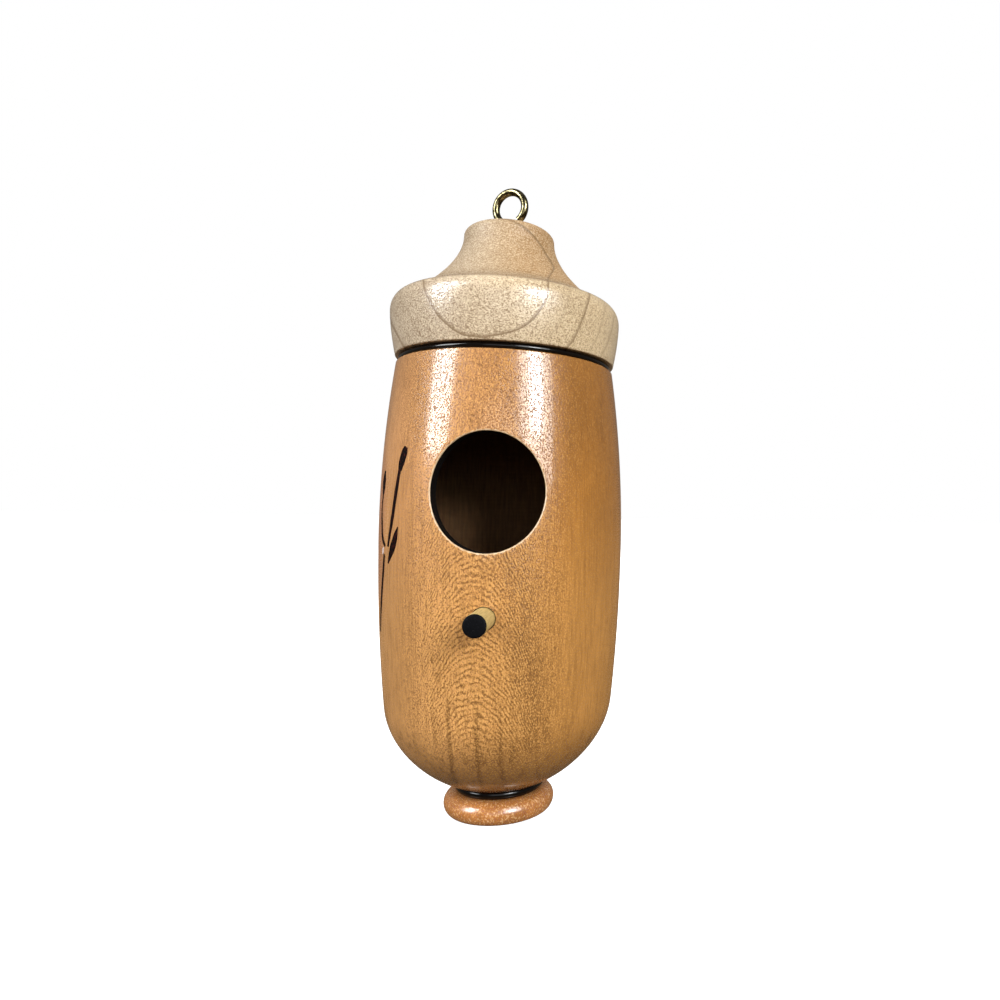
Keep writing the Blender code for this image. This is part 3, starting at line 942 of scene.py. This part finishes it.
class BIRDHOUSE_OT_rings(bpy.types.Operator):
    """Turn the two black rings, one under the roof and one above the foot."""
    bl_idname = "birdhouse.rings"
    bl_label = "Black rings"

    def execute(self, context):
        black = ebonised(context.scene.birdhouse_colours)
        outer = ROOF_RING_HIGH.x - ROOF_RING_SET_BACK
        bottom, top = BODY_HIGH.z + SEAM, RIM_BOTTOM_Z - ROOF_RING_CLEAR
        roof_ring = turn("roof_band", ring_profile(outer, ROOF_RING_BORE, bottom, top))
        settle(roof_ring, "house", "roof_ring", "roof_ring_black", black)
        smooth(roof_ring)
        bottom, top = FOOT_TOP_Z + SEAM, BODY_LOW.z - SEAM
        outer = FOOT_RING_HIGH.x
        foot_ring = turn("foot_band", ring_profile(outer, FOOT_RING_BORE, bottom, top))
        settle(foot_ring, "house", "foot_ring", "foot_ring_black", black)
        smooth(foot_ring)
        return {"FINISHED"}


class BIRDHOUSE_OT_perch(bpy.types.Operator):
    """Turn the dowel perch and paint its tip."""
    bl_idname = "birdhouse.perch"
    bl_label = "Perch"

    def execute(self, context):
        edge = context.scene.birdhouse_sizes.perch_edge
        colours = context.scene.birdhouse_colours
        length = PERCH_HIGH.y - PERCH_LOW.y
        tip = arc(PERCH_RADIUS - edge, length - edge, edge, edge, 90.0, 0.0, 5)
        side = [(PERCH_RADIUS, z) for z in heights(length - edge, 0.0, 8)[1:]]
        profile = [(0.0, length)] + tip + side + [(0.0, 0.0)]
        perch = turn("perch_dowel", profile, steps=SMALL_STEPS)
        perch.location = (0.0, PERCH_HIGH.y, (PERCH_LOW.z + PERCH_HIGH.z) / 2)
        perch.rotation_euler = (math.radians(90.0), 0.0, 0.0)
        only(perch)
        bpy.ops.object.transform_apply(location=True, rotation=True, scale=True)
        settle(perch, "house", "perch", "perch_dowel", dowel_wood(colours), tip_paint(colours))
        for face in perch.data.polygons:
            if face.center.y < PERCH_LOW.y + edge * 0.8:
                face.material_index = 1
        smooth(perch)
        return {"FINISHED"}


class BIRDHOUSE_OT_reeds(bpy.types.Operator):
    """Lay the painted reeds on the body's left side as low beads that follow its curve."""
    bl_idname = "birdhouse.reeds"
    bl_label = "Painted reeds"

    def execute(self, context):
        height = context.scene.birdhouse_sizes.reed_height
        black, pink = reed_paint(), dot_paint()
        strokes = [paint_stroke(line, height, black) for line in REED_LINES]
        nothing_selected()
        for stroke in strokes:
            stroke.select_set(True)
        bpy.context.view_layer.objects.active = strokes[0]
        bpy.ops.object.join()
        reeds = bpy.context.object
        reeds.name = "painted_reeds"
        dot = paint_stroke(REED_DOT, DOT_RISE * height, pink)
        dot.name = "painted_reed_bud"
        for piece in (reeds, dot):
            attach(piece, "house")
            smooth(piece, 60.0)
        return {"FINISHED"}


class BIRDHOUSE_OT_screw_eye(bpy.types.Operator):
    """Draw the screw eye's wire: a shank grooved like a thread, a bend and an open ring."""
    bl_idname = "birdhouse.screw_eye"
    bl_label = "Screw eye"

    def execute(self, context):
        nothing_selected()
        tip_z = KNOB_TOP_Z - SHANK_LENGTH
        bpy.ops.mesh.primitive_circle_add(
            vertices=WIRE_STEPS, radius=SHANK_POINT, fill_type="NGON", location=(0.0, 0.0, tip_z)
        )
        eye = bpy.context.object
        eye.name = "brass_eye"
        bpy.ops.object.mode_set(mode="EDIT")
        bpy.ops.mesh.select_all(action="SELECT")
        bend_z = EYE_Z - math.sqrt(EYE_RADIUS ** 2 + 2.0 * EYE_RADIUS * EYE_BEND)
        stations = []
        z = tip_z + THREAD_PITCH
        while z < KNOB_TOP_Z - SHANK_PLAIN:
            stations.append((THREAD_ROOT, z))
            stations.append((WIRE_RADIUS, z + THREAD_RISE * THREAD_PITCH))
            z += THREAD_PITCH
        stations += [(THREAD_ROOT, z), (WIRE_RADIUS, z + THREAD_FADE), (WIRE_RADIUS, bend_z)]
        radius, height = SHANK_POINT, tip_z
        for next_radius, next_z in stations:
            bpy.ops.mesh.extrude_region_move(
                TRANSFORM_OT_translate={"value": (0.0, 0.0, next_z - height)}
            )
            bpy.ops.transform.resize(
                value=(next_radius / radius, next_radius / radius, 1.0),
                center_override=(0.0, 0.0, next_z),
            )
            radius, height = next_radius, next_z
        meet = math.atan2(EYE_Z - bend_z, EYE_BEND)
        bpy.ops.mesh.spin(
            steps=BEND_STEPS, angle=meet, center=(-EYE_BEND, 0.0, bend_z), axis=(0.0, 1.0, 0.0)
        )
        sweep = math.radians(180.0 - EYE_END) + meet
        bpy.ops.mesh.spin(
            steps=RING_STEPS, angle=-sweep, center=(0.0, 0.0, EYE_Z), axis=(0.0, 1.0, 0.0)
        )
        bpy.ops.mesh.select_all(action="SELECT")
        bpy.ops.mesh.remove_doubles(threshold=MERGE_FINE)
        bpy.ops.mesh.normals_make_consistent(inside=False)
        bpy.ops.object.mode_set(mode="OBJECT")
        eye.rotation_euler = (0.0, 0.0, math.radians(EYE_TURN))
        bpy.ops.object.transform_apply(location=True, rotation=True, scale=True)
        colours = context.scene.birdhouse_colours
        settle(eye, "roof_cap", "screw_eye", "eye_brass", brass_metal(colours))
        smooth(eye, 50.0)
        return {"FINISHED"}


# ---------------------------------------------------------------- studio

def soft_light(name, azimuth, elevation, distance, width, height, strength):
    """A soft panel facing the middle of the birdhouse. Azimuth 0 is the front, 90 the right."""
    middle = (CAD_BOX[0] + CAD_BOX[1]) / 2
    a, e = math.radians(azimuth), math.radians(elevation)
    away = Vector((math.sin(a) * math.cos(e), -math.cos(a) * math.cos(e), math.sin(e)))
    nothing_selected()
    bpy.ops.object.light_add(type="AREA", location=middle + away * distance)
    lamp = bpy.context.object
    lamp.name = name
    lamp.rotation_euler = away.to_track_quat("Z", "Y").to_euler()
    lamp.data.shape = "RECTANGLE"
    lamp.data.size = width
    lamp.data.size_y = height
    lamp.data.energy = math.pi * strength * width * height
    lamp.data.color = DAYLIGHT
    return lamp


def studio_air(scene):
    """White to the camera, and for the birdhouse soft light that is warmer from below."""
    world = bpy.data.worlds.new("studio_air")
    scene.world = world
    world.use_nodes = True
    nodes, links = world.node_tree.nodes, world.node_tree.links
    air = nodes["Background"]
    seen = nodes.new("ShaderNodeBackground")
    seen.inputs["Color"].default_value = (1.0, 1.0, 1.0, 1.0)
    air.inputs["Strength"].default_value = AIR_STRENGTH
    direction = nodes.new("ShaderNodeTexCoord")
    split = nodes.new("ShaderNodeSeparateXYZ")
    below = nodes.new("ShaderNodeMapRange")
    below.inputs["From Min"].default_value = 0.15
    below.inputs["From Max"].default_value = -0.25
    blend = nodes.new("ShaderNodeMix")
    blend.data_type = "RGBA"
    blend.inputs[6].default_value = SKY
    blend.inputs[7].default_value = GROUND
    links.new(direction.outputs["Generated"], split.inputs["Vector"])
    links.new(split.outputs["Z"], below.inputs["Value"])
    links.new(below.outputs["Result"], blend.inputs[0])
    links.new(blend.outputs[2], air.inputs["Color"])
    path = nodes.new("ShaderNodeLightPath")
    choice = nodes.new("ShaderNodeMixShader")
    links.new(path.outputs["Is Camera Ray"], choice.inputs["Fac"])
    links.new(air.outputs["Background"], choice.inputs[1])
    links.new(seen.outputs["Background"], choice.inputs[2])
    links.new(choice.outputs["Shader"], nodes["World Output"].inputs["Surface"])


class BIRDHOUSE_OT_studio(bpy.types.Operator):
    """Add the floor, the soft lights, the air round them and the camera."""
    bl_idname = "birdhouse.studio"
    bl_label = "Studio"

    def execute(self, context):
        scene = context.scene
        scene.view_settings.view_transform = "Standard"
        nothing_selected()
        bpy.ops.mesh.primitive_circle_add(
            vertices=128, radius=FLOOR_RADIUS, fill_type="NGON",
            location=(0.0, 0.0, CAD_BOX[0].z),
        )
        floor = bpy.context.object
        floor.name = "floor"
        white = Finish("floor_white")
        distance = white.node("ShaderNodeVectorMath", {0: white.place}, operation="LENGTH")
        away = distance.outputs["Value"]
        floor.data.materials.append(white.set(
            Base_Color=(0.85, 0.85, 0.85), Roughness=0.8, Emission_Color=(1.0, 1.0, 1.0),
            Emission_Strength=white.rise(away, 60.0, 400.0, 0.62, 1.05),
        ))
        floor.visible_diffuse = False
        floor.visible_glossy = False

        for light in LIGHTS:
            soft_light(*light)
        for light in FILLS:
            soft_light(*light).visible_glossy = False
        studio_air(scene)

        nothing_selected()
        bpy.ops.object.camera_add(
            location=CAMERA_PLACE, rotation=[math.radians(angle) for angle in CAMERA_TURN]
        )
        camera = bpy.context.object
        camera.name = "camera"
        camera.data.sensor_width = 36.0
        camera.data.lens = CAMERA_LENS
        camera.data.shift_x = CAMERA_SHIFT
        camera.data.clip_start = 0.01
        scene.camera = camera
        return {"FINISHED"}


class BIRDHOUSE_PT_panel(bpy.types.Panel):
    bl_idname = "BIRDHOUSE_PT_panel"
    bl_label = "Birdhouse"
    bl_space_type = "VIEW_3D"
    bl_region_type = "UI"
    bl_category = "Birdhouse"

    def draw(self, context):
        for settings in (context.scene.birdhouse_sizes, context.scene.birdhouse_colours):
            column = self.layout.column(align=True)
            for name in settings.__annotations__:
                column.prop(settings, name)
        for operator in PIECES:
            self.layout.operator(operator.bl_idname)


PIECES = (
    BIRDHOUSE_OT_body,
    BIRDHOUSE_OT_roof,
    BIRDHOUSE_OT_foot,
    BIRDHOUSE_OT_rings,
    BIRDHOUSE_OT_perch,
    BIRDHOUSE_OT_reeds,
    BIRDHOUSE_OT_screw_eye,
    BIRDHOUSE_OT_studio,
)
CLASSES = (BirdhouseSizes, BirdhouseColours, *PIECES, BIRDHOUSE_PT_panel)


def register():
    for made in CLASSES:
        bpy.utils.register_class(made)
    bpy.types.Scene.birdhouse_sizes = bpy.props.PointerProperty(type=BirdhouseSizes)
    bpy.types.Scene.birdhouse_colours = bpy.props.PointerProperty(type=BirdhouseColours)


def unregister():
    del bpy.types.Scene.birdhouse_colours
    del bpy.types.Scene.birdhouse_sizes
    for made in reversed(CLASSES):
        bpy.utils.unregister_class(made)


def main():
    register()
    for operator in PIECES:
        group, name = operator.bl_idname.split(".")
        getattr(getattr(bpy.ops, group), name)()


if __name__ == "__main__":
    main()
